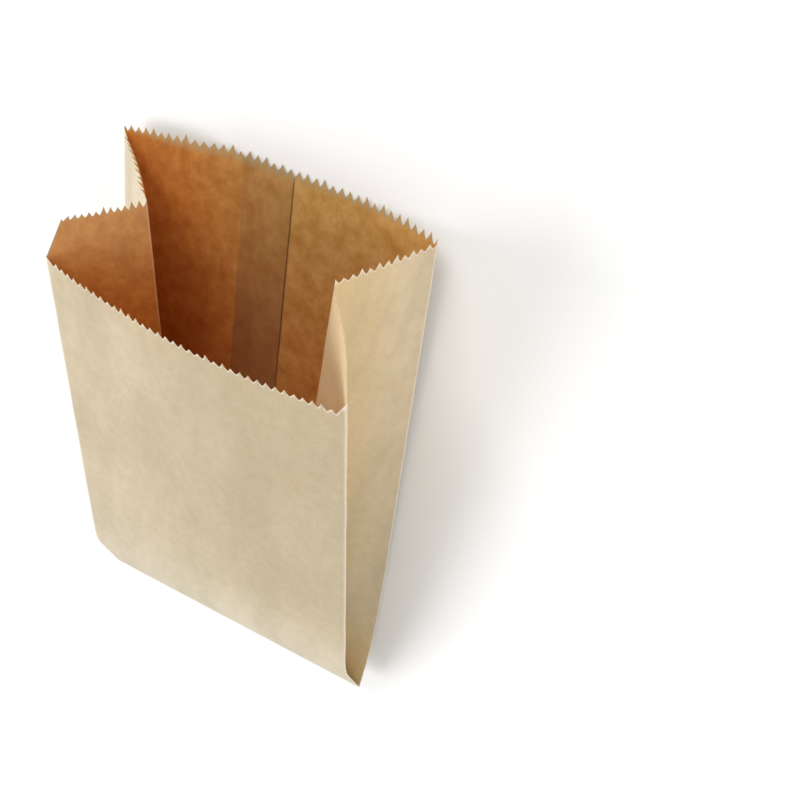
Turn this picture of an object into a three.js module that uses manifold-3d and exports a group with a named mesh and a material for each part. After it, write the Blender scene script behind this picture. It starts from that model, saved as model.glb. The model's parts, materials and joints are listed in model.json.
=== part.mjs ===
// A kraft paper lunch bag with side gussets, opened and lying on its back panel.
// It is one sheet of paper: wrapped into a tube with a glued seam down the back, creased
// into two gussets, cut with a saw-tooth knife at both ends, and its bottom end folded
// over onto the back and glued. At the mouth the front panel is cut lower than the rest,
// so the gussets' free edges stand up beside it. Millimetres. X runs across the bag, Y from
// the folded bottom to the mouth, and Z up from the surface the bag lies on.

import * as THREE from 'three';
import Module from 'manifold-3d';

// The flat bag
const panelWidth = 130;        // front and back panel, between their folded edges
const tubeLength = 206.5;      // folded bottom edge to the roots of the mouth's teeth
const frontStep = 23.7;        // how much lower the front panel is cut
const gussetDepth = 41;        // folded edge to the gusset's inner crease
const paperThickness = 0.1;
const layerGap = 0.06;         // air between the layers where they are pressed flat
const creaseReach = 0.5;       // how far a crease's bend reaches into each panel

// The saw-tooth cut
const toothPitch = 3.42;
const toothDepth = 3.2;
const toothTip = 0.5;          // width of the blunt tip
const cornerWidth = 4;         // beside its folds the front panel's cut has no teeth
const cornerRise = { left: 2.4, right: 7.3 };   // and slants up this far to the fold

// The glued seam, measured across from the middle of the back panel
const seamOuterEdge = -15.7;   // where the outer sheet ends, on the outside
const seamInnerEdge = 5.3;     // where the inner sheet ends, on the inside
const seamStep = 1.6;          // over which the inner sheet comes down beside the outer edge
const seamCut = 0.05;          // width over which a cut edge drops

// The bottom, folded over and glued to the back
const flapLength = 20;
const foldSlack = 0.02;        // extra radius at the folded edge
const tuck = 0.05;             // how far the tube reaches into the folded edge

// How the opened bag lies
const bottomHeight = 7.5;      // the folded bottom edge stands off the surface
const backRiseLength = 90;     // from the bottom to where the back panel lies flat
const backRisePower = 4;
const backFlatLeft = 15;       // the back panel lies flat from its middle this far each way
const backFlatRight = 20;
const leftRiseShare = 0.58;    // left of that it rises over this share of the rest, then runs on level
const rightRisePower = 2.4;    // right of that it rises in one curve
const frontCrown = 5.1;        // rise of the front panel's middle at its cut
const crownPower = 1.8;
const crownDraw = 0.4;         // how far that rise draws the paper back, for each millimetre
const leftFrontBow = 1.6;      // the gussets' halves are bowed into the bag at the mouth
const leftBackBow = 1.1;
const rightBackBow = -0.5;     // and this one outwards
const freeCornerLean = { x: 11.6, y: -0.4, z: 2.2 }; // the left gusset's free corner leans inwards
const leanSpread = 1.3;        // how fast that dies away towards the crease

// The mouth ends of the six fold lines: how far each has moved outwards from its line in
// the flat bag, how far it lies short of the tube's length, and its height. The front lines
// also puff up steeply above the pressed bottom, and then run on straight to the mouth.
const mouthHeight = 61.9;
const mouth = {
  backLeft: { outwards: 1.8, short: 0, height: 5.3 },
  backRight: { outwards: 0.8, short: -1.6, height: 6.7 },
  creaseLeft: { outwards: 11.4, short: 11.3, height: 0.488 * mouthHeight },
  creaseRight: { outwards: 22.8, short: 6.5, height: 0.633 * mouthHeight },
  frontLeft: { outwards: -8.3, short: 7.9, height: mouthHeight, puff: 10.5 },
  frontRight: { outwards: 6.6, short: 11.9, height: 1.138 * mouthHeight, puff: 11.2 },
};
const puffLength = 24.4;       // along the bag, to where the puff is whole
const kneeSoftness = 0.15;     // rounding of the knee there
const partingLength = 20;      // over which the pressed layers come apart

// How finely the curved paper is divided
const lengthRows = 13;
const freeRows = 3;            // above the front panel's cut
const rowCrowding = 1.6;       // rows lie closer together towards the bottom
const panelColumns = 12;
const gussetColumns = 5;
const foldedEdgeSteps = 8;
const flapRows = 5;

// Layers of the pressed bottom, counted up from the back panel. The gusset's crease lies
// between its two halves.
const backLayer = 0;
const creaseLayer = 1.5;
const frontLayer = 3;

const halfWidth = panelWidth / 2;
const layerPitch = paperThickness + layerGap;
const stackThickness = frontLayer * layerPitch + paperThickness;
const foldedHalfWidth = halfWidth - creaseReach + layerPitch;

// The front panel's cut and the tops of its two corners, as shares of the tube's length
const frontTop = (tubeLength - frontStep) / tubeLength;
const cornerTop = {
  left: frontTop + cornerRise.left / tubeLength,
  right: frontTop + cornerRise.right / tubeLength,
};
const cornerShare = cornerWidth / panelWidth;

// Height of the back panel along its middle line, at a distance from the bottom
function backHeight(along) {
  const left = Math.max(0, 1 - along / backRiseLength);
  return paperThickness / 2 + bottomHeight * left ** backRisePower;
}

// Fold lines. Each runs from its place in the pressed bottom (t = 0) to the mouth (t = 1).
function foldLine(name, flatX, layer, rise) {
  const side = name.endsWith('Left') ? -1 : 1;
  const end = mouth[name];
  return {
    layer,
    point(t) {
      const x = side * (flatX + end.outwards * t);
      const y = (tubeLength - end.short) * t;
      return new THREE.Vector3(x, y, rise(t, end));
    },
  };
}

function backRise(t, end) {
  const along = t * tubeLength;
  const lift = Math.max(0, (along - flapLength) / (tubeLength - flapLength));
  return backHeight(along) + (end.height - paperThickness / 2) * lift;
}

function creaseRise(t, end) {
  return THREE.MathUtils.lerp(backHeight(0) + creaseLayer * layerPitch, end.height, t);
}

// Rises in a straight line from 0 to 1, and stays there after a soft knee
function knee(share) {
  return (share + Math.hypot(1, kneeSoftness) - Math.hypot(1 - share, kneeSoftness)) / 2;
}

function frontRise(t, end) {
  const start = backHeight(0) + frontLayer * layerPitch;
  const puffed = end.puff * knee(t * tubeLength / puffLength);
  return start + puffed + (end.height - start - end.puff) * t;
}

const creaseX = halfWidth - gussetDepth;
const backLeft = foldLine('backLeft', halfWidth, backLayer, backRise);
const backRight = foldLine('backRight', halfWidth, backLayer, backRise);
const creaseLeft = foldLine('creaseLeft', creaseX, creaseLayer, creaseRise);
const creaseRight = foldLine('creaseRight', creaseX, creaseLayer, creaseRise);
const frontLeft = foldLine('frontLeft', halfWidth, frontLayer, frontRise);
const frontRight = foldLine('frontRight', halfWidth, frontLayer, frontRise);

// The shapes that the panels take between their fold lines
function lieOnSurface(point, u, t, a, b) {
  const isLeft = u < 0.5;
  const end = isLeft ? a : b;
  const flat = isLeft ? backFlatLeft : backFlatRight;
  const share = Math.max(0, Math.abs(point.x) - flat) / (Math.abs(end.x) - flat);
  const rise = isLeft ? THREE.MathUtils.smoothstep(share, 0, leftRiseShare) : share ** rightRisePower;
  point.z = THREE.MathUtils.lerp(backHeight(t * tubeLength), end.z, rise);
}

function crown(point, u, t) {
  const share = t / frontTop;
  const rise = frontCrown * share * (1 - Math.abs(2 * u - 1) ** crownPower);
  point.z += rise;
  point.y -= crownDraw * rise * share;
}

function bowIn(depth) {
  return (point, u, t, a, b) => {
    const out = new THREE.Vector3(b.z - a.z, 0, a.x - b.x).normalize();
    point.addScaledVector(out, -depth * 4 * u * (1 - u) * t ** 2);
  };
}

function bowAndLean(point, u, t, a, b) {
  bowIn(leftFrontBow)(point, u, t, a, b);
  const free = Math.max(0, (t - cornerTop.left) / (1 - cornerTop.left));
  point.addScaledVector(freeCornerLean, free * (1 - u) ** leanSpread);
}

// The six panels in order around the tube, with layer as in the fold lines
const frontPanel = {
  from: frontRight, to: frontLeft, layer: frontLayer,
  columns: panelColumns, width: panelWidth, bend: crown,
};
const backPanel = {
  from: backLeft, to: backRight, layer: backLayer,
  columns: panelColumns, width: panelWidth, bend: lieOnSurface,
};
const gussetHalf = (from, to, layer, bend) => (
  { from, to, layer, columns: gussetColumns, width: gussetDepth, bend });
const panels = [
  frontPanel,
  gussetHalf(frontLeft, creaseLeft, 2, bowAndLean),
  gussetHalf(creaseLeft, backLeft, 1, bowIn(leftBackBow)),
  backPanel,
  gussetHalf(backRight, creaseRight, 1, bowIn(rightBackBow)),
  gussetHalf(creaseRight, frontRight, 2),
];

// Pressed layers lie side by side at the bottom, and part as the bag opens above it
function parting(panel, fold, t) {
  const fade = Math.exp(-t * tubeLength / partingLength);
  return (panel.layer - fold.layer) * layerPitch * fade;
}

function panelEnds(panel, t) {
  const a = panel.from.point(t);
  const b = panel.to.point(t);
  a.z += parting(panel, panel.from, t);
  b.z += parting(panel, panel.to, t);
  const across = b.clone().sub(a).normalize();
  a.addScaledVector(across, creaseReach);
  b.addScaledVector(across, -creaseReach);
  return [a, b];
}

function panelPoint(panel, u, t) {
  const [a, b] = panelEnds(panel, t);
  const point = a.clone().lerp(b, u);
  if (panel.bend) panel.bend(point, u, t, a, b);
  return point;
}

// The tip of the rounded bend between one panel and the next
function bendTip(panel, next, t) {
  const a = panelPoint(panel, 1, t);
  const b = panelPoint(next, 0, t);
  const corner = panel.to.point(t);
  corner.z += (parting(panel, panel.to, t) + parting(next, panel.to, t)) / 2;
  const middle = a.clone().lerp(b, 0.5);
  const out = corner.sub(middle);
  const reach = Math.min(0.75 * out.length(), a.distanceTo(b) / 2);
  return middle.addScaledVector(out.normalize(), reach);
}

// Where the paper's two faces lie either side of its middle, in thicknesses. In the seam
// the inner sheet lies on the outer one, and comes down beside the outer sheet's edge.
function faces(panel, x) {
  if (panel !== backPanel || x >= seamInnerEdge || x <= seamOuterEdge - seamStep) return [0.5, 0.5];
  if (x >= seamOuterEdge) return [0.5, 1.5];
  const climb = (x - seamOuterEdge + seamStep) / seamStep;
  return [0.5 - climb, 0.5 + climb];
}

// Fractions across a panel: even columns, and on the back panel also the seam's edges
function coarseColumns(panel) {
  const even = Array.from({ length: panel.columns + 1 }, (_, i) => i / panel.columns);
  if (panel !== backPanel) return even;
  const edges = [
    seamOuterEdge - seamStep, seamOuterEdge - seamCut, seamOuterEdge,
    seamInnerEdge - seamCut, seamInnerEdge,
  ].map((x) => x / (panelWidth - 2 * creaseReach) + 0.5);
  const clear = even.filter((u) => edges.every((edge) => Math.abs(u - edge) > 0.01));
  return [...clear, ...edges].sort((a, b) => a - b);
}

// Fractions across a panel at the roots of its teeth. The front panel has none at its corners
function toothColumns(panel) {
  const plain = panel === frontPanel ? cornerShare : 0;
  const count = Math.max(1, Math.round(panel.width * (1 - 2 * plain) / toothPitch));
  const roots = Array.from({ length: count + 1 }, (_, i) => plain + (1 - 2 * plain) * i / count);
  return plain ? [0, ...roots, 1] : roots;
}

// A station is the middle of the paper at one place in a row around the tube. Panel numbers
// run on past the last one, back to the front panel.
function station(number, u, t) {
  const panel = panels[number % panels.length];
  const middle = panelPoint(panel, u, t);
  return { at: number + 0.9 * u, middle, faces: faces(panel, middle.x), toothed: u < 1 };
}

function bendStation(number, t) {
  const next = panels[(number + 1) % panels.length];
  return { at: number + 0.95, middle: bendTip(panels[number], next, t), faces: [0.5, 0.5], toothed: false };
}

// A row all the way round, up to the front panel's cut
function closedRow(t, columnsOf) {
  const row = panels.flatMap((panel, number) => [
    ...columnsOf(panel).map((u) => station(number, u, t)),
    bendStation(number, t),
  ]);
  return giveThickness(row, true);
}

// How much of the front panel's width one of its corners still has at t, down to none at
// the corner's top, and less than none above it
function cornerLeft(side, t) {
  return cornerShare * (cornerTop[side] - t) / (cornerTop[side] - frontTop);
}

// A row above the front panel's cut, from its left corner round the back to its right one
function openRow(t, columnsOf) {
  const left = cornerLeft('left', t);
  const right = cornerLeft('right', t);
  const last = panels.length - 1;
  const row = [];
  if (left > 0) row.push(station(0, 1 - left, t));
  if (left >= 0) row.push(station(0, 1, t), bendStation(0, t));
  for (let number = 1; number <= last; number += 1) {
    row.push(...columnsOf(panels[number]).map((u) => station(number, u, t)));
    if (number < last) row.push(bendStation(number, t));
  }
  if (right >= 0) row.push(bendStation(last, t), station(last + 1, 0, t));
  if (right > 0) row.push(station(last + 1, right, t));
  return giveThickness(row, false);
}

// Faces lie along the normals in the section across the bag, mitred at each bend
function giveThickness(row, closed) {
  const normalBetween = (from, to) => (
    new THREE.Vector2(to.middle.z - from.middle.z, from.middle.x - to.middle.x).normalize());
  const normals = row.slice(1).map((next, i) => normalBetween(row[i], next));
  const around = closed ? normalBetween(row.at(-1), row[0]) : null;
  row.forEach((here, i) => {
    const before = normals[i - 1] ?? around ?? normals[0];
    const after = normals[i] ?? around ?? normals.at(-1);
    const mitre = before.clone().add(after).divideScalar(Math.max(0.5, 1 + before.dot(after)));
    const place = (thicknesses) => here.middle.clone().add(
      new THREE.Vector3(mitre.x, 0, mitre.y).multiplyScalar(thicknesses * paperThickness));
    here.outer = place(here.faces[0]);
    here.inner = place(-here.faces[1]);
  });
  return row;
}

function solidFrom(positions, triangles, wasm) {
  return new wasm.Manifold(new wasm.Mesh({
    numProp: 3,
    vertProperties: new Float32Array(positions),
    triVerts: new Uint32Array(triangles),
  }));
}

// A wall of paper: rows of stations, each with an outer and an inner point, and cut edges
// with or without saw teeth.
class PaperWall {
  constructor() {
    this.positions = [];
    this.triangles = [];
  }

  vertex(point) {
    this.positions.push(point.x, point.y, point.z);
    return this.positions.length / 3 - 1;
  }

  addRow(row, closed) {
    const indexed = row.map((station) => ({
      ...station, out: this.vertex(station.outer), in: this.vertex(station.inner),
    }));
    if (closed) indexed.push({ ...indexed[0], at: row.at(-1).at + 0.05 });
    return indexed;
  }

  // Fills between two lines of vertices, stepping along whichever is behind
  strip(low, high, lowSide, highSide) {
    let i = 0;
    let j = 0;
    while (i < low.length - 1 || j < high.length - 1) {
      const stepLow = j === high.length - 1 || (i < low.length - 1 && low[i + 1].at <= high[j + 1].at);
      const third = stepLow ? low[i + 1][lowSide] : high[j + 1][highSide];
      this.triangles.push(low[i][lowSide], high[j][highSide], third);
      if (stepLow) i += 1;
      else j += 1;
    }
  }

  joinRows(low, high) {
    this.strip(low, high, 'out', 'out');
    this.flipped(() => this.strip(low, high, 'in', 'in'));
  }

  flipped(fill) {
    const start = this.triangles.length;
    fill();
    for (let k = start; k < this.triangles.length; k += 3) {
      [this.triangles[k + 1], this.triangles[k + 2]] = [this.triangles[k + 2], this.triangles[k + 1]];
    }
  }

  // Closes the sides of a wall that doesn't run all the way round
  closeSides(low, high) {
    for (const [station, above, isRight] of [[low[0], high[0], false], [low.at(-1), high.at(-1), true]]) {
      const fill = () => this.triangles.push(
        station.out, station.in, above.out, station.in, above.in, above.out);
      if (isRight) this.flipped(fill);
      else fill();
    }
  }

  // The cut edge, with a tooth on each toothed stretch between two stations
  cutEdge(row, up) {
    for (let i = 0; i < row.length - 1; i += 1) {
      const ends = [row[i], row[i + 1]];
      const stretch = row[i].toothed ? [ends[0], ...this.toothTips(ends, up), ends[1]] : ends;
      if (row[i].toothed) {
        const [a, b, c, d] = stretch;
        this.triangles.push(a.out, b.out, d.out, b.out, c.out, d.out);
        this.triangles.push(a.in, d.in, b.in, b.in, d.in, c.in);
      }
      for (let k = 0; k < stretch.length - 1; k += 1) {
        const [a, b] = [stretch[k], stretch[k + 1]];
        this.triangles.push(a.out, a.in, b.out, a.in, b.in, b.out);
      }
    }
  }

  toothTips([left, right], up) {
    const blunt = toothTip / (2 * toothPitch);
    const tooth = up(left);
    return [0.5 - blunt, 0.5 + blunt].map((share) => ({
      out: this.vertex(left.outer.clone().lerp(right.outer, share).add(tooth)),
      in: this.vertex(left.inner.clone().lerp(right.inner, share).add(tooth)),
    }));
  }

  solid(wasm) {
    return solidFrom(this.positions, this.triangles, wasm);
  }
}

// The way up the paper at each station of a row, as long as a tooth
function upThePaper(rowAt, t) {
  const lower = rowAt(t - 0.02);
  return (here) => {
    const match = lower.find((other) => other.at === here.at);
    return here.middle.clone().sub(match.middle).setLength(toothDepth);
  };
}

// The tube, open at the mouth and ending inside the folded bottom edge
function paperTube(wasm) {
  const wall = new PaperWall();
  const frontTeeth = (panel) => (panel === frontPanel ? toothColumns(panel) : coarseColumns(panel));
  let low = wall.addRow(closedRow(-tuck / tubeLength, coarseColumns), true);
  wall.strip(low, low, 'in', 'out');
  for (let i = 0; i <= lengthRows; i += 1) {
    const t = frontTop * (i / lengthRows) ** rowCrowding;
    const high = wall.addRow(closedRow(t, i === lengthRows ? frontTeeth : coarseColumns), true);
    wall.joinRows(low, high);
    low = high;
  }

  // The front panel ends here, but for its two corners
  const frontCount = toothColumns(frontPanel).length;
  const upTheFront = upThePaper((t) => closedRow(t, frontTeeth), frontTop);
  wall.cutEdge(low.slice(1, frontCount - 1), upTheFront);
  const wrapped = low.slice(0, 2).map((here) => ({ ...here, at: here.at + panels.length }));
  low = [...low.slice(frontCount - 2, -1), ...wrapped];

  const cornerTops = [...new Set([cornerTop.left, cornerTop.right])].sort((a, b) => a - b);
  const free = Array.from({ length: freeRows }, (_, i) => (
    THREE.MathUtils.lerp(cornerTops.at(-1), 1, (i + 1) / freeRows)));
  for (const t of [...cornerTops, ...free]) {
    const high = wall.addRow(openRow(t, t === 1 ? toothColumns : coarseColumns), false);
    wall.joinRows(low, high);
    wall.closeSides(low, high);
    low = cutCorners(wall, high, t);
  }
  wall.cutEdge(low, upThePaper((t) => openRow(t, toothColumns), 1));
  return wall.solid(wasm);
}

// Cuts off each corner of the front panel that has reached its top, and returns the rest
function cutCorners(wall, row, t) {
  const firstFree = row.findIndex((here) => here.at >= 1);
  const lastFree = row.findLastIndex((here) => here.at < panels.length - 0.05);
  const start = t >= cornerTop.left ? firstFree : 0;
  const end = t >= cornerTop.right ? lastFree : row.length - 1;
  const plain = (here) => ({ ...here, toothed: false });
  wall.cutEdge(row.slice(0, start + 1).map(plain));
  wall.cutEdge(row.slice(end).map(plain));
  return row.slice(start, end + 1);
}

// The bottom end of the flattened tube, turned over and glued under the back panel
function glueFlap(wasm) {
  const wall = new PaperWall();
  const rootsAt = flapLength - toothDepth;
  const rowAcross = (along, columns) => columns.map((u) => {
    const x = (2 * u - 1) * foldedHalfWidth;
    const top = backHeight(Math.max(0, along));
    const outer = new THREE.Vector3(x, along, top - paperThickness / 2 - stackThickness);
    const inner = new THREE.Vector3(x, along, top);
    return { at: u, outer, inner, toothed: true };
  });
  const rows = [wall.addRow(rowAcross(-tuck, [0, 1]), false)];
  for (let i = 1; i <= flapRows; i += 1) {
    const columns = i === flapRows ? toothColumns(backPanel) : [0, 1];
    rows.push(wall.addRow(rowAcross(rootsAt * i / flapRows, columns), false));
  }
  wall.strip(rows[0], rows[0], 'in', 'out');
  for (let i = 1; i < rows.length; i += 1) {
    wall.joinRows(rows[i - 1], rows[i]);
    wall.closeSides(rows[i - 1], rows[i]);
  }
  const drop = backHeight(flapLength) - backHeight(rootsAt);
  wall.cutEdge(rows.at(-1), () => new THREE.Vector3(0, toothDepth, drop));
  return wall.solid(wasm);
}

// The folded bottom edge, a half round of pressed layers right across the bag
function foldedEdge(wasm) {
  const radius = stackThickness + foldSlack;
  const section = new THREE.Shape();
  section.absarc(0, 0, radius, Math.PI / 2, Math.PI * 1.5, false);
  section.closePath();
  const geometry = new THREE.ExtrudeGeometry(section, {
    depth: 2 * foldedHalfWidth, bevelEnabled: false, curveSegments: foldedEdgeSteps,
  });
  // The section's X becomes the bag's Y and its Y becomes Z
  geometry.applyMatrix4(new THREE.Matrix4().makeBasis(
    new THREE.Vector3(0, 1, 0), new THREE.Vector3(0, 0, 1), new THREE.Vector3(1, 0, 0)));
  geometry.translate(-foldedHalfWidth, 0, backHeight(0) - paperThickness / 2);
  return solidOf(geometry, wasm);
}

function solidOf(geometry, wasm) {
  const welded = new Map();
  const corners = geometry.getAttribute('position');
  const positions = [];
  const triangles = [];
  for (let i = 0; i < corners.count; i += 1) {
    const corner = [corners.getX(i), corners.getY(i), corners.getZ(i)];
    const key = corner.map((value) => value.toFixed(5)).join();
    if (!welded.has(key)) {
      welded.set(key, positions.length / 3);
      positions.push(...corner);
    }
    triangles.push(welded.get(key));
  }
  return solidFrom(positions, triangles, wasm);
}

const wasm = await Module();
wasm.setup();
const bag = paperTube(wasm).add(glueFlap(wasm)).add(foldedEdge(wasm));
const result = bag.getMesh();

const geometry = new THREE.BufferGeometry();
geometry.setAttribute('position', new THREE.BufferAttribute(new Float32Array(result.vertProperties), 3));
geometry.setIndex(new THREE.BufferAttribute(new Uint32Array(result.triVerts), 1));
geometry.computeVertexNormals();

// The origin is the middle of the bag's box, on the surface it lies on
geometry.computeBoundingBox();
const { min, max } = geometry.boundingBox;
geometry.translate(-(min.x + max.x) / 2, -(min.y + max.y) / 2, -min.z);

const kraft = new THREE.MeshStandardMaterial({ color: 0xd8c49c, roughness: 0.85, metalness: 0 });
const paperBag = new THREE.Mesh(geometry, kraft);
paperBag.name = 'paper_bag';

const group = new THREE.Group();
group.add(paperBag);

export default group;
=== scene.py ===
import json
import math
import random

import bmesh
import bpy
from mathutils import Matrix, Vector, noise

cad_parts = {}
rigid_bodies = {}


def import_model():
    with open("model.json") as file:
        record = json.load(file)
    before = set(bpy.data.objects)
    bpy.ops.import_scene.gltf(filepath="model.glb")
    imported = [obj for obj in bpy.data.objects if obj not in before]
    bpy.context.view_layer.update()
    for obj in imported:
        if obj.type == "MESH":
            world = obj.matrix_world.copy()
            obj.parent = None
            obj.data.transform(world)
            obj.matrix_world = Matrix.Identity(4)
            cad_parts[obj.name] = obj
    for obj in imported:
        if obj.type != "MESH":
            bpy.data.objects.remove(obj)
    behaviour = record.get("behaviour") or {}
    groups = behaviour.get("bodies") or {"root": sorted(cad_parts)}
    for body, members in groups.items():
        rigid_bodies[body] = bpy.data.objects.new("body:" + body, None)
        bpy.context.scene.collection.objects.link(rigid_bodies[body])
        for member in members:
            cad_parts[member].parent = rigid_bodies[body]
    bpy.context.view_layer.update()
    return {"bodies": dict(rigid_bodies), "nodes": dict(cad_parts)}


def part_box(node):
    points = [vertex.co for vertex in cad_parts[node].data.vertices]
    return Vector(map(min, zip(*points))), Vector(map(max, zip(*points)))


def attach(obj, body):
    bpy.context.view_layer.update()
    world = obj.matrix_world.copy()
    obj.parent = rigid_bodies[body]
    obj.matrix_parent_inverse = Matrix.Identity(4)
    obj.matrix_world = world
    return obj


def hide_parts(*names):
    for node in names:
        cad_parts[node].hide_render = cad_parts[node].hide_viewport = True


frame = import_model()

known = [*frame["nodes"].values(), *frame["bodies"].values()]
for leftover in [thing for thing in bpy.data.objects if thing not in known]:
    bpy.data.objects.remove(leftover)

# The paper bag
# One sheet of brown kraft paper, wrapped into a tube and glued down the back, creased into
# two side gussets, cut across with a saw-tooth knife at both ends, and closed by folding the
# pressed bottom end over onto the back. The bag lies on its back with its mouth pushed open,
# where the front panel is cut lower than the rest. Lengths are millimetres until the
# finished sheet is put in its place.
MILLIMETRE = 0.001
panel_width = 130
tube_length = 206.5
front_length = tube_length - 23.7
paper_thickness = 0.1
layer_gap = 0.06
layer_pitch = paper_thickness + layer_gap
crease_reach = 0.5

teeth_across = 38
front_teeth = 36
gusset_teeth = 12
tooth_pitch = panel_width / teeth_across
tooth_depth = 3.2
steps_per_tooth = 4
gusset_depth = gusset_teeth * tooth_pitch

# Beside its folds the front panel's cut has no teeth, and slants up this far to the fold
corner_width = 4.0
corner_rises = {"left": 2.4, "right": 7.3}
front_pitch = (panel_width - 2 * corner_width) / front_teeth

seam_outer_edge = -15.7
seam_inner_edge = 5.3
seam_step = 1.6
seam_lift = paper_thickness + 0.02

flap_length = 20
fold_slack = 0.02
bottom_height = 7.5
back_rise_length = 90
back_rise_power = 4
parting_length = 20

half_width = panel_width / 2
crease_place = half_width - gusset_depth

# Each fold line: which layer of the pressed bottom it lies in, its place across the flat
# tube, and where its mouth end has moved: outwards, short of the tube's length, and up.
# The front fold lines also puff up steeply out of the pressed bottom, up to a soft knee.
puff_length = 24.4
knee_softness = 0.15
fold_lines = {
    "back_left": dict(layer=0, flat=-half_width, outwards=-1.8, short=0.0, height=5.3),
    "back_right": dict(layer=0, flat=half_width, outwards=0.8, short=-1.6, height=6.7),
    "crease_left": dict(layer=1.5, flat=-crease_place, outwards=-11.4, short=11.3, height=30.2),
    "crease_right": dict(layer=1.5, flat=crease_place, outwards=22.8, short=6.5, height=39.2),
    "front_left": dict(layer=3, flat=-half_width, outwards=8.3, short=7.9, height=61.9, puff=10.5),
    "front_right": dict(layer=3, flat=half_width, outwards=6.6, short=11.9, height=70.4, puff=11.2),
}


def back_height(along):
    """Height of the middle of the back panel, at a distance from the folded bottom."""
    left = max(0.0, 1 - along / back_rise_length)
    return paper_thickness / 2 + bottom_height * left ** back_rise_power


def knee(share):
    """Rises in a straight line from 0 to 1, and stays there after a soft knee."""
    return (share + math.hypot(1, knee_softness) - math.hypot(1 - share, knee_softness)) / 2


def on_fold_line(name, t):
    """A point on a fold line, from the pressed bottom (t = 0) to the mouth (t = 1)."""
    line = fold_lines[name]
    along = t * tube_length
    start = back_height(0) + line["layer"] * layer_pitch
    if line["layer"] == 0:
        opened = max(0.0, (along - flap_length) / (tube_length - flap_length))
        z = back_height(along) + (line["height"] - paper_thickness / 2) * opened
    else:
        puff = line.get("puff", 0)
        z = start + puff * knee(along / puff_length) + (line["height"] - start - puff) * t
    # No fold is quite straight
    kink = 0.22 * noise.noise(Vector((along / 14, line["flat"], line["layer"])))
    x = line["flat"] + line["outwards"] * t + kink * smooth_step(along / 30)
    return Vector((x, (tube_length - line["short"]) * t, z))


def smooth_step(value):
    value = min(1.0, max(0.0, value))
    return value * value * (3 - 2 * value)


def lie_on_table(point, u, t, start, end):
    """The back panel lies flat in its middle and rises to its two fold lines."""
    on_left = u < 0.5
    corner = start if on_left else end
    flat_half = 15 if on_left else 20
    share = max(0.0, abs(point.x) - flat_half) / (abs(corner.x) - flat_half)
    rise = smooth_step(share / 0.58) if on_left else share ** 2.4
    middle = back_height(t * tube_length)
    point.z = middle + (corner.z - middle) * rise


def crown(point, u, t, start, end):
    """The front panel is arched across. Where it rises, the paper's own length draws it back
    towards the bottom."""
    share = t * tube_length / front_length
    rise = 5.1 * share * (1 - abs(2 * u - 1) ** 1.8)
    point.z += rise
    point.y -= 0.4 * rise * share


def bow(point, u, t, start, end, depth):
    """Half of a gusset is bowed into the bag at the mouth."""
    out = Vector((end.z - start.z, 0, start.x - end.x)).normalized()
    point -= out * depth * 4 * u * (1 - u) * max(0.0, t) ** 2


def left_back_bow(point, u, t, start, end):
    bow(point, u, t, start, end, 1.1)


def right_back_bow(point, u, t, start, end):
    bow(point, u, t, start, end, -0.5)


def left_front_bow(point, u, t, start, end):
    """This half's free corner, above the front panel, also leans inwards."""
    bow(point, u, t, start, end, 1.6)
    corner_top = (front_length + corner_rises["left"]) / tube_length
    free = max(0.0, (t - corner_top) / (1 - corner_top))
    point += Vector((11.6, -0.4, 2.2)) * free * max(0.0, 1 - u) ** 1.3


# The six panels in order round the tube, as one sheet from the seam's outer edge round to
# its inner edge. The back panel comes at both ends of the sheet.
panels = [
    dict(start="back_left", end="back_right", layer=0, bend=lie_on_table),
    dict(start="back_right", end="crease_right", layer=1, bend=right_back_bow),
    dict(start="crease_right", end="front_right", layer=2, bend=None),
    dict(start="front_right", end="front_left", layer=3, bend=crown),
    dict(start="front_left", end="crease_left", layer=2, bend=left_front_bow),
    dict(start="crease_left", end="back_left", layer=1, bend=left_back_bow),
]


def parting(panel, name, t):
    """Pressed layers lie side by side at the bottom and part as the bag opens."""
    fade = math.exp(-t * tube_length / parting_length)
    return (panel["layer"] - fold_lines[name]["layer"]) * layer_pitch * fade


def on_panel(panel, u, t):
    start = on_fold_line(panel["start"], t)
    end = on_fold_line(panel["end"], t)
    start.z += parting(panel, panel["start"], t)
    end.z += parting(panel, panel["end"], t)
    across = (end - start).normalized()
    start += across * crease_reach
    end -= across * crease_reach
    point = start.lerp(end, u)
    if panel["bend"]:
        panel["bend"](point, u, t, start, end)
    return point


def on_bend(panel, following, t):
    """The tip of the rounded bend between a panel and the one that follows it."""
    last = on_panel(panel, 1, t)
    first = on_panel(following, 0, t)
    corner = on_fold_line(panel["end"], t)
    corner.z += (parting(panel, panel["end"], t) + parting(following, panel["end"], t)) / 2
    middle = (last + first) / 2
    out = corner - middle
    reach = min(0.75 * out.length, (last - first).length / 2)
    return middle + out.normalized() * reach


# The columns of the sheet, four to a tooth, with three at each fold line. Each knows its
# place across the flat tube, which sets its tooth, and its place along the sheet.
FRONT = 3
tooth_draw = random.Random(11)


def new_teeth():
    """Heights and sideways leans of one panel's teeth, as a knife tears them."""
    count = teeth_across + 1
    heights = [tooth_draw.uniform(0.62, 1.0) + tooth_draw.choice((0, 0, 0.15)) for _ in range(count)]
    leans = [tooth_draw.uniform(-0.3, 0.3) for _ in range(count)]
    return heights, leans


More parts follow.
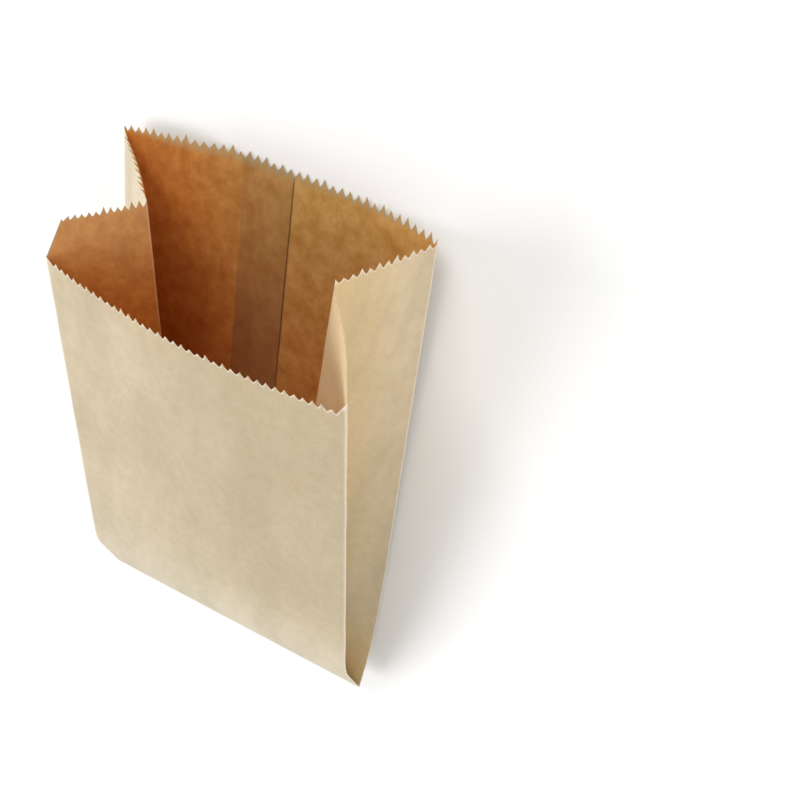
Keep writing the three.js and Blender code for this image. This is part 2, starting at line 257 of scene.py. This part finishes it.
def panel_columns(index, first=None, last=None, inner=False):
    """Columns of a panel, or of the part of it between first and last across the tube."""
    panel = panels[index]
    start = fold_lines[panel["start"]]["flat"]
    end = fold_lines[panel["end"]]["flat"]
    side = 1 if end > start else -1
    across = abs(end - start)
    trimmed = across - 2 * crease_reach
    beside_fold = [crease_reach, 1.4, 2.3, 3.2] if index == FRONT else [crease_reach]
    plain = corner_width if index == FRONT else 0
    pitch = front_pitch if index == FRONT else tooth_pitch
    count = round((across - 2 * plain) / pitch * steps_per_tooth)
    toothed = [plain + step * pitch / steps_per_tooth for step in range(count + 1)]
    toothed = [x for x in toothed if beside_fold[-1] < x < across - beside_fold[-1]]
    places = [*beside_fold, *toothed, *(across - x for x in reversed(beside_fold))]
    places = [start + side * x for x in places]
    if first is not None:
        places = [first] + [x for x in places if x > first + 0.2]
    if last is not None:
        places = [x for x in places if x < last - 0.2] + [last]
    heights, leans = new_teeth()
    return [dict(panel=index, flat=x, u=(abs(x - start) - crease_reach) / trimmed, inner=inner,
                 step=side / trimmed, heights=heights, leans=leans) for x in places]


def bend_column(index):
    corner = fold_lines[panels[index]["end"]]["flat"]
    heights, leans = new_teeth()
    return dict(panel=index, flat=corner, u=None, inner=False, heights=heights, leans=leans)


columns = panel_columns(0, first=seam_outer_edge)
for index in range(1, 6):
    columns += [bend_column(index - 1), *panel_columns(index)]
columns += [bend_column(5), *panel_columns(0, last=seam_inner_edge, inner=True)]
columns[0]["along"] = 0.0
for before, column in zip(columns, columns[1:]):
    column["along"] = before["along"] + abs(column["flat"] - before["flat"])


def is_front_fold(column):
    return column["u"] is None and column["panel"] in (FRONT - 1, FRONT)


def tooth_height(column):
    """Height of the saw cut above its valleys at a column, and how far its tip leans."""
    place = (column["flat"] + half_width) / tooth_pitch
    if column["panel"] == FRONT and column["u"] is not None:
        place = (column["flat"] + half_width - corner_width) / front_pitch + 0.5
    nearest = min(teeth_across, max(0, round(place)))
    tip = max(0.0, 1 - abs(place - nearest) / 0.42)
    lean = column["leans"][nearest] if tip > 0.9 else 0.0
    return tooth_depth * column["heights"][nearest] * tip, lean


# The knife cut the front and the right gusset less deeply than the back's right half
tooth_sizes = {0: 1.0, 1: 0.85, 2: 0.85, 3: 0.88, 4: 0.95, 5: 1.0}
back_right_extra = 0.35

# How far the teeth of a panel are turned out of it, as shares of their height
tooth_curls = {0: 0.0, 1: 0.0, 2: 0.0, 3: 0.1, 4: 0.1, 5: 0.75}


def cut_bow(flat):
    """How far the knife's cut bows out along the back panel, most at its left."""
    reach, power = (40, 2) if flat < -25 else (90, 1.4)
    return 3.8 * (1 - (abs(flat + 25) / reach) ** power)


def mouth_cut(column):
    """How far up the tube the paper reaches at a column, and how far a tooth's tip leans."""
    tooth, lean = tooth_height(column)
    tooth *= tooth_sizes[column["panel"]]
    if column["panel"] == 0:
        tooth *= 1 + back_right_extra * smooth_step((column["flat"] - 8) / 30)
        tooth += cut_bow(column["flat"])
    if column["panel"] == 5 and column["u"] is None:
        tooth *= 0.3
    if column["panel"] != FRONT and not is_front_fold(column):
        return tube_length + tooth, lean
    from_fold = half_width - abs(column["flat"])
    if from_fold > corner_width:
        return front_length + tooth, lean
    rise = corner_rises["left" if column["flat"] < 0 else "right"]
    return front_length + rise * (1 - from_fold / corner_width), 0.0


# The rows of the sheet: the turned-over flap, the roll round the bottom, and the tube up
# past the two cuts at the mouth, where each column stops at its own
flap_rows = 7
roll_rows = 6
row_step = 3.6
tube_rows = [0, 0.3, 0.8, 1.6, 2.8, 4.4, 6.4, 8.8]
while tube_rows[-1] + row_step < front_length - 2.5:
    tube_rows.append(tube_rows[-1] + row_step)
tube_rows += [front_length - 0.7, front_length, *sorted(front_length + rise for rise in corner_rises.values())]
while tube_rows[-1] + row_step < tube_length - 2.5:
    tube_rows.append(tube_rows[-1] + row_step)
tube_rows += [tube_length - 0.7, tube_length, tube_length + 3 * tooth_depth]

roll_axis = back_height(0) - paper_thickness / 2 - fold_slack


def sheet_point(column, t, lean=0.0):
    """The middle of the paper at a column and a share of the tube's length."""
    panel = panels[column["panel"]]
    if column["u"] is None:
        return on_bend(panel, panels[(column["panel"] + 1) % 6], t)
    point = on_panel(panel, column["u"] + lean * column["step"], t)
    if column["inner"]:
        climb = (column["flat"] - seam_outer_edge) / seam_step + 1.6
        point.z += seam_lift * min(1.0, max(0.0, climb))
    return point


def turned_under(column, share_of_roll, share_of_flap, tooth=0.0):
    """The pressed end, rolled round the bottom edge and lying under the back panel."""
    pressed = sheet_point(column, 0)
    radius = pressed.z - roll_axis
    if share_of_flap == 0 and tooth == 0:
        angle = math.pi * share_of_roll
        return Vector((pressed.x, -radius * math.sin(angle), roll_axis + radius * math.cos(angle)))
    reach = (flap_length - tooth_depth - math.pi * radius) * share_of_flap + tooth
    fall = back_height(reach) - back_height(0)
    return Vector((pressed.x, reach, roll_axis - radius + fall))


first_tube_row = flap_rows + roll_rows
row_count = first_tube_row + len(tube_rows)
bag_mesh = bmesh.new()
bmesh.ops.create_grid(
    bag_mesh, x_segments=len(columns) - 1, y_segments=row_count - 1, size=1)
column_of = bag_mesh.verts.layers.int.new("column")
row_of = bag_mesh.verts.layers.int.new("row")
sheet_place = bag_mesh.verts.layers.float_vector.new("sheet")
marks = bag_mesh.verts.layers.float_vector.new("marks")
shades = bag_mesh.verts.layers.float_vector.new("shades")
tones = bag_mesh.verts.layers.float_vector.new("tones")
inside = bag_mesh.verts.layers.float.new("inside")
for vertex in bag_mesh.verts:
    vertex[column_of] = round((vertex.co.x + 1) / 2 * (len(columns) - 1))
    vertex[row_of] = round((vertex.co.y + 1) / 2 * (row_count - 1))


def is_cut_away(face):
    """Whether a square of the sheet lies past the cut of its columns."""
    row = min(vertex[row_of] for vertex in face.verts)
    if row < first_tube_row:
        return False
    beside = [columns[number] for number in {vertex[column_of] for vertex in face.verts}]
    past = [tube_rows[row - first_tube_row] > mouth_cut(column)[0] - 0.001 for column in beside]
    return all(past) or any(there and is_front_fold(column) for there, column in zip(past, beside))


bmesh.ops.delete(bag_mesh, geom=[face for face in bag_mesh.faces if is_cut_away(face)], context="FACES")


def turned_out(column, t, distance):
    """How far a tooth's tip stands out of its panel, as a step outwards."""
    panel, u = panels[column["panel"]], column["u"]
    across = on_panel(panel, min(1, u + 0.02), t) - on_panel(panel, max(0, u - 0.02), t)
    onwards = on_panel(panel, u, t) - on_panel(panel, u, t - 0.01)
    return onwards.cross(across).normalized() * distance


def place_in_row(column, row):
    """Where the paper's middle is at a column and row, how far along the tube, and whether
    the knife has cut it there."""
    if row < flap_rows:
        share = 1 - row / flap_rows
        # The knife's last cut made this end, so the front panel, which lies outermost here,
        # has valleys where its mouth has tips
        is_toothed = row == 0 and column["panel"] == FRONT and column["u"] is not None
        cut = tooth_depth - tooth_height(column)[0] if is_toothed else 0.0
        return turned_under(column, 1, share, cut), -flap_length * share, row == 0
    if row < first_tube_row:
        return turned_under(column, (first_tube_row - row) / roll_rows, 0), 0.0, False
    length = tube_rows[row - first_tube_row]
    cut, lean = mouth_cut(column)
    if length < cut - 0.001:
        return sheet_point(column, length / tube_length), length, False
    point = sheet_point(column, cut / tube_length, lean)
    valley = front_length if column["panel"] == FRONT else tube_length
    if column["u"] is not None and cut > valley:
        curl = tooth_curls[column["panel"]] * smooth_step(5 * min(column["u"], 1 - column["u"]))
        point += turned_out(column, valley / tube_length, curl * (cut - valley))
    return point, cut, True


def free_edge_mark(column, length):
    """The gussets' free edges beside the front panel are cut edges too, and get the same pale painted
    highlight.
    """
    if column["panel"] not in (FRONT - 1, FRONT + 1) or column["u"] is None:
        return 0.0
    from_fold = half_width - abs(column["flat"])
    rise = corner_rises["left" if column["flat"] < 0 else "right"]
    if length < front_length + rise:
        return 0.0
    return max(0.0, 1 - (from_fold - crease_reach) / 1.4)


for vertex in bag_mesh.verts:
    column = columns[vertex[column_of]]
    vertex.co, length, is_cut = place_in_row(column, vertex[row_of])
    vertex[sheet_place] = Vector((column["along"], length, 0)) * MILLIMETRE
    # Creases are marked to be painted paler: partly wear, partly a painted highlight along the fold
    crease_mark = 1.0 if column["u"] is None else 0.0
    if column["u"] is not None and min(column["u"], 1 - column["u"]) < 0.001:
        crease_mark = 0.55
    # The glued seam's double layer is darkened as painted shade, more so down in the bag
    seam_mark = 0.0
    if column["panel"] == 0 and seam_outer_edge <= column["flat"] <= seam_inner_edge:
        seam_mark = 0.4 + 0.6 * smooth_step((tube_length - length) / 70)
    vertex[marks] = Vector((crease_mark, seam_mark, 1.0 if is_cut else free_edge_mark(column, length)))
    # Painted shadow: a dark line where the inner sheet's edge casts one, and a dark nick where the
    # sheets' edges meet at the mouth. Painted light: one half of the right gusset is paler inside.
    # Painted bounce light and shade: down in the bag, and towards its left fold, the inside is browner.
    seam_shadow_line = 0.0
    if column is columns[-1] and length > 0:
        seam_shadow_line = 0.5 + 0.5 * smooth_step((length - 90) / 60)
    paler = 1.0 if column["panel"] == 2 and column["u"] is not None else 0.0
    leftwards = smooth_step((12 - column["flat"]) / 60) if column["panel"] == 0 else 0.0
    browner = 0.95 * leftwards + 0.6 * smooth_step((tube_length - length) / 90)
    # Painted light and shade: the left gusset's front half is browner inside, and a little paler near the
    # mouth
    if column["panel"] == 4:
        browner += 0.7
        paler = 0.22 * smooth_step((length - 165) / 40)
    # Painted shade: a dark nick where the sheets' edges meet at the mouth
    nick = column["inner"] and abs(column["flat"] - seam_outer_edge) < 1.2
    if nick and length > tube_length:
        seam_shadow_line = 0.65
    vertex[shades] = Vector((seam_shadow_line, paler, min(1.0, browner)))
    # Painted bounce light: outside, the gussets are golden down in their fold. Painted shade: the
    # front is duller to the right. Painted light: the front is creamier at its foot, like the left
    # gusset's back half
    golden = 0.0
    if column["panel"] in (1, 2) and column["u"] is not None:
        in_fold = column["u"] if column["panel"] == 1 else 1 - column["u"]
        golden = 0.15 + 0.85 * smooth_step((40 - length) / 35) + 0.5 * smooth_step((in_fold - 0.15) / 0.6)
    dull = 0.0
    creamy = 1.0 if column["panel"] == 5 else 0.0
    if column["panel"] == FRONT:
        dull = smooth_step((column["flat"] + 62) / 95) * smooth_step((length - 20) / 60)
        creamy = smooth_step((60 - length) / 45)
    vertex[tones] = Vector((min(1.0, golden), dull, creamy))

# Where a column stops below its neighbour its last points lie in one place
bmesh.ops.remove_doubles(bag_mesh, verts=bag_mesh.verts[:], dist=0.0001)

# Soft waves and creases left by handling. They die away at the fold lines and towards the
# pressed bottom, and on the back panel they only lift, because it lies on the table.
def handling(column, length):
    if column["u"] is None or length <= 0:
        return 0.0
    x, y, layer = column["flat"], length, panels[column["panel"]]["layer"]
    from_fold = min(column["u"], 1 - column["u"])
    calm = smooth_step(from_fold * 6) * smooth_step((length - 6) / 40)
    if column["panel"] == 0:
        lift = 0.5 + noise.noise(Vector((x / 30, y / 45, 8)))
        return 0.25 * max(0.0, lift) * calm
    broad = noise.noise(Vector((x / 34 + y / 90, y / 48 - x / 60, layer * 7)))
    slant_across, slant_along = x * 0.47 + y * 0.88, x * 0.88 - y * 0.47
    tension = noise.noise(Vector((slant_across / 17, slant_along / 70, 3 + layer * 5)))
    fine = noise.noise(Vector((x / 7, y / 12, 20 + layer)))
    return (0.85 * broad + 0.5 * tension + 0.05 * fine) * calm


inwards = bag_mesh.verts.layers.float_vector.new("inwards")
bag_mesh.normal_update()
for vertex in bag_mesh.verts:
    vertex[inwards] = vertex.normal
for vertex in bag_mesh.verts:
    wave = handling(columns[vertex[column_of]], vertex[sheet_place].y / MILLIMETRE)
    vertex.co += vertex[inwards] * wave

# The sheet gets its thickness: its inner face is drawn in from its outer face
bag_mesh.normal_update()
for vertex in bag_mesh.verts:
    vertex[inwards] = vertex.normal
drawn = bmesh.ops.extrude_face_region(bag_mesh, geom=bag_mesh.faces[:], use_keep_orig=True)["geom"]
for vertex in [part for part in drawn if isinstance(part, bmesh.types.BMVert)]:
    vertex[inside] = 1.0
for vertex in bag_mesh.verts:
    vertex.co += vertex[inwards] * (vertex[inside] - 0.5) * paper_thickness
bag_mesh.verts.layers.float_vector.remove(inwards)

bag_mesh.normal_update()
for edge in bag_mesh.edges:
    edge.smooth = edge.calc_face_angle(math.pi) < math.radians(32)
print("triangles", sum(len(face.verts) - 2 for face in bag_mesh.faces))
print("volume", bag_mesh.calc_volume(signed=True), "mm3")
print("open edges", sum(not edge.is_manifold for edge in bag_mesh.edges),
      "turned", sum(not edge.is_contiguous for edge in bag_mesh.edges))

# Into the CAD's place: the middle of the folded bottom edge is where the CAD has it
cad_node = frame["nodes"]["paper_bag"]
low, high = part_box("paper_bag")
folded_edge = [corner.co for corner in cad_node.data.vertices if corner.co.y < low[1] + 0.0003]
edge_middle = (min(co.x for co in folded_edge) + max(co.x for co in folded_edge)) / 2
edge_radius = 3 * layer_pitch + paper_thickness + fold_slack
bag_place = Vector((edge_middle, low[1] + edge_radius * MILLIMETRE, 0))
print("bag place", bag_place)
bmesh.ops.transform(
    bag_mesh, verts=bag_mesh.verts[:],
    matrix=Matrix.Translation(bag_place) @ Matrix.Scale(MILLIMETRE, 4))
for face in bag_mesh.faces:
    face.smooth = True

paper = bpy.data.meshes.new("folded_paper")
bag_mesh.to_mesh(paper)
bag_mesh.free()
folded_paper = bpy.data.objects.new("folded_paper", paper)
bpy.context.scene.collection.objects.link(folded_paper)

# The finish: uncoated kraft, cream on its outer side and painted a warmer brown inside for the
# light bounced round in the bag, with long fibres that run up the bag, and paler along creases,
# partly wear and partly a painted highlight
kraft = bpy.data.materials.new("kraft_paper")
kraft.use_nodes = True
nodes = kraft.node_tree.nodes
links = kraft.node_tree.links
nodes.clear()


def node(kind, label, inputs=None, **settings):
    made = nodes.new(kind)
    made.label = label
    for name, value in settings.items():
        setattr(made, name, value)
    for socket, value in (inputs or {}).items():
        if isinstance(value, bpy.types.NodeSocket):
            links.new(value, made.inputs[socket])
        else:
            made.inputs[socket].default_value = value
    return made


def mix_colour(label, factor, first, second, blend="MIX"):
    mixed = node("ShaderNodeMix", label, data_type="RGBA", blend_type=blend)
    for socket, value in ((0, factor), (6, first), (7, second)):
        if isinstance(value, bpy.types.NodeSocket):
            links.new(value, mixed.inputs[socket])
        else:
            mixed.inputs[socket].default_value = value
    return mixed.outputs[2]


def spread(label, value, low, high, out_low=0.0, out_high=1.0):
    return node("ShaderNodeMapRange", label, {
        "Value": value, "From Min": low, "From Max": high, "To Min": out_low, "To Max": out_high,
    }).outputs["Result"]


def grain(label, place, scale, stretch, detail, roughness=0.55):
    """Noise drawn out along the bag, as fibres lie along the machine's run."""
    mapped = node("ShaderNodeMapping", label + " place", {
        "Vector": place, "Scale": (scale, scale / stretch, scale)})
    return node("ShaderNodeTexNoise", label, {
        "Vector": mapped.outputs["Vector"], "Scale": 1.0, "Detail": detail, "Roughness": roughness,
    }).outputs["Fac"]


def apart(label, attribute):
    read = node("ShaderNodeAttribute", label, attribute_name=attribute)
    parts = node("ShaderNodeSeparateXYZ", label + " apart", {"Vector": read.outputs["Vector"]})
    return [parts.outputs[axis] for axis in "XYZ"]


def product(label, first, second):
    return node("ShaderNodeMath", label, operation="MULTIPLY", inputs={0: first, 1: second}).outputs[0]


on_sheet = node("ShaderNodeAttribute", "place on the flat sheet", attribute_name="sheet")
side = node("ShaderNodeAttribute", "inner side", attribute_name="inside")
is_inside = side.outputs["Fac"]
crease_wear_and_highlight, in_seam, cut_edge = apart("crease, seam and cut", "marks")
seam_shadow_line, paler_half, browner = apart("seam line, paler half, browner", "shades")
golden_fold, dull_front, creamier = apart("golden fold, dull front, creamier", "tones")
side_shift = node("ShaderNodeVectorMath", "other fibres on each side", operation="MULTIPLY_ADD", inputs={
    0: side.outputs["Vector"], 1: (0.7, 0.3, 0.5), 2: on_sheet.outputs["Vector"]})
place = side_shift.outputs["Vector"]

cloud = grain("cloudiness", place, 38, 1.6, 3)
mottle = grain("mottle", place, 260, 1.3, 4)
blotch = grain("blotches", place, 150, 1.2, 6, 0.72)
fibre = grain("fibre", place, 1500, 3, 5, 0.65)
fleck = grain("dark flecks", place, 900, 3, 2)
slanted = node("ShaderNodeVectorRotate", "slanted place", {"Vector": place, "Angle": math.radians(-14)},
               rotation_type="Z_AXIS").outputs["Vector"]
streak = grain("soft streaks", slanted, 55, 4, 2)

outside_cream = mix_colour("outside cloudiness", spread("cloud", cloud, 0.35, 0.65),
                           (0.78, 0.695, 0.49, 1), (0.86, 0.775, 0.565, 1))
# Painted bounce light: golden down in the gussets' fold
outside_golden = mix_colour("golden fold", product("golden strength", golden_fold, 0.75),
                            outside_cream, (0.92, 0.72, 0.34, 1))
# Painted light: creamier at the front's foot and on the left gusset's back half
outside_creamy = mix_colour("creamier places", product("cream strength", creamier, 0.8),
                            outside_golden, (0.94, 0.89, 0.71, 1))
# Painted shade: the front darker towards its right and upper part
outside_dull = mix_colour("dull front", product("dull strength", dull_front, 0.36),
                          outside_creamy, (0.50, 0.43, 0.25, 1))
outside_colour = mix_colour("soft streaks", spread("streak strength", streak, 0.42, 0.64, 0.0, 0.34),
                            outside_dull, (0.60, 0.56, 0.37, 1))
# Painted bounce light and shade: the inside gets warmer, deeper browns than the outside, browner still down in
# the bag and to the left
inside_golden = mix_colour("inside blotches", spread("blotch inside", blotch, 0.36, 0.64),
                           (0.64, 0.33, 0.075, 1), (0.84, 0.51, 0.17, 1))
inside_brown = mix_colour("browner blotches", spread("blotch browner", blotch, 0.36, 0.64),
                          (0.62, 0.195, 0.034, 1), (0.83, 0.34, 0.075, 1))
inside_colour = mix_colour("browner down in the bag", browner, inside_golden, inside_brown)
# Painted light: one half of the right gusset, lit through the mouth, is paler inside
inside_toned = mix_colour("paler half", spread("paler strength", paler_half, 0, 1, 0.0, 0.9),
                          inside_colour, (0.90, 0.78, 0.50, 1))
paper_colour = mix_colour("sides", is_inside, outside_colour, inside_toned)
mottled = mix_colour("mottling", spread("mottle strength", mottle, 0.3, 0.75, 0.0, 0.3),
                     paper_colour, (0.72, 0.66, 0.58, 1), "MULTIPLY")
fibrous = mix_colour("fibres", spread("fibre strength", fibre, 0.4, 0.8, 0.0, 0.3),
                     mottled, (0.70, 0.64, 0.56, 1), "MULTIPLY")
flecked = mix_colour("flecks", spread("fleck strength", fleck, 0.68, 0.78, 0.0, 0.3),
                     fibrous, (0.30, 0.20, 0.11, 1))
# Painted shade: the glued seam's double layer lets less light through, so it is darkened
glued_and_shaded = mix_colour("glued seam", spread("seam strength", product("seam inside", in_seam, is_inside), 0.0, 1.0, 0.0, 0.5),
                   flecked, (0.24, 0.12, 0.07, 1))
# Painted shadow: a dark line along the inner sheet's edge, and the dark nick at the mouth
seam_shadow_lined = mix_colour("line at the seam", spread("line strength", product("line inside", seam_shadow_line, is_inside), 0.3, 0.9, 0.0, 0.85),
                   glued_and_shaded, (0.09, 0.045, 0.02, 1))
# Painted highlight along the creases, partly wear, much weaker inside
crease_strength = spread("crease strength", crease_wear_and_highlight, 0.0, 1.0, 0.0, 0.95)
crease_inside = spread("less inside", is_inside, 0.0, 1.0, 1.0, 0.25)
worn_and_highlighted = mix_colour("worn creases", product("crease by side", crease_strength, crease_inside),
                  seam_shadow_lined, (1.0, 0.95, 0.82, 1))
# Cut edges: pale outside, partly the cut fibres and partly a painted highlight; inside a greyer brown without
# the painted bounce light
cut_colour = mix_colour("cut by side", is_inside, (1.0, 0.95, 0.80, 1), (0.50, 0.41, 0.22, 1))
finished = mix_colour("cut edge", spread("cut strength", cut_edge, 0.1, 0.9, 0.0, 0.85),
                      worn_and_highlighted, cut_colour)

relief = node("ShaderNodeMath", "relief", operation="MULTIPLY_ADD",
              inputs={0: mottle, 1: 0.6, 2: fibre}).outputs[0]
paper_relief = node("ShaderNodeBump", "fibre relief", {
    "Strength": 0.5, "Distance": 0.00006, "Height": relief})
body = node("ShaderNodeBsdfPrincipled", "kraft", {
    "Base Color": finished,
    "Roughness": spread("roughness", mottle, 0.3, 0.7, 0.68, 0.86),
    "Specular IOR Level": 0.3,
    "Normal": paper_relief.outputs["Normal"],
})
glow = node("ShaderNodeBsdfTranslucent", "light through the paper", {
    "Color": mix_colour("colour of light through it", 0.6, finished, (0.75, 0.42, 0.15, 1)),
    "Normal": paper_relief.outputs["Normal"],
})
blended = node("ShaderNodeMixShader", "thin paper", {
    0: 0.3, 1: body.outputs[0], 2: glow.outputs[0]})
node("ShaderNodeOutputMaterial", "finish", {"Surface": blended.outputs[0]})
paper.materials.append(kraft)

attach(folded_paper, "root")
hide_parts("paper_bag")

# The table top: a plain pale surface under the bag, wide enough to fill every view
table_mesh = bmesh.new()
bmesh.ops.create_grid(table_mesh, x_segments=1, y_segments=1, size=12)
bmesh.ops.translate(table_mesh, verts=table_mesh.verts[:], vec=(0, 0, -0.0003))
table_data = bpy.data.meshes.new("table_top")
table_mesh.to_mesh(table_data)
table_mesh.free()
table_top = bpy.data.objects.new("table_top", table_data)
bpy.context.scene.collection.objects.link(table_top)
pale = bpy.data.materials.new("pale_table")
pale.use_nodes = True
pale_surface = pale.node_tree.nodes["Principled BSDF"]
pale_surface.inputs["Base Color"].default_value = (0.93, 0.93, 0.925, 1)
pale_surface.inputs["Roughness"].default_value = 0.7
table_data.materials.append(pale)

# Soft studio light: a broad main light from the lower left, one into the mouth, a weaker one
# from the right, and an even white room
for name, direction, strength, softness in (
        ("main_light", (-0.65, -0.5, 0.6), 1.7, 40),
        ("mouth_light", (-0.3, 0.8, 0.5), 1.4, 35),
        ("side_light", (0.9, 0.0, 0.35), 1.28, 50)):
    light_data = bpy.data.lights.new(name, "SUN")
    light_data.energy = strength
    light_data.angle = math.radians(softness)
    light = bpy.data.objects.new(name, light_data)
    light.rotation_euler = Vector(direction).to_track_quat("Z", "Y").to_euler()
    bpy.context.scene.collection.objects.link(light)
room = bpy.data.worlds.new("white_room")
room.use_nodes = True
room.node_tree.nodes["Background"].inputs["Color"].default_value = (1, 1, 1, 1)
room.node_tree.nodes["Background"].inputs["Strength"].default_value = 0.55
bpy.context.scene.world = room
bpy.context.scene.view_settings.view_transform = "Standard"

# The camera stands where the photograph's stood round the bag, so the mouth is at the top
camera_data = bpy.data.cameras.new("camera")
camera_data.sensor_width = 36
camera_data.lens = 56.88
camera_data.clip_start = 0.01
camera = bpy.data.objects.new("camera", camera_data)
camera_right = Vector((0.862258, 0.134868, -0.488182))
camera_up = Vector((-0.372786, 0.821492, -0.431487))
camera_back = camera_right.cross(camera_up)
camera_turn = Matrix((camera_right, camera_up, camera_back)).transposed()
camera_place = bag_place + Vector((216.857, 396.041, 350.904)) * MILLIMETRE
camera.matrix_world = Matrix.Translation(camera_place) @ camera_turn.to_4x4()
bpy.context.scene.collection.objects.link(camera)
bpy.context.scene.camera = camera
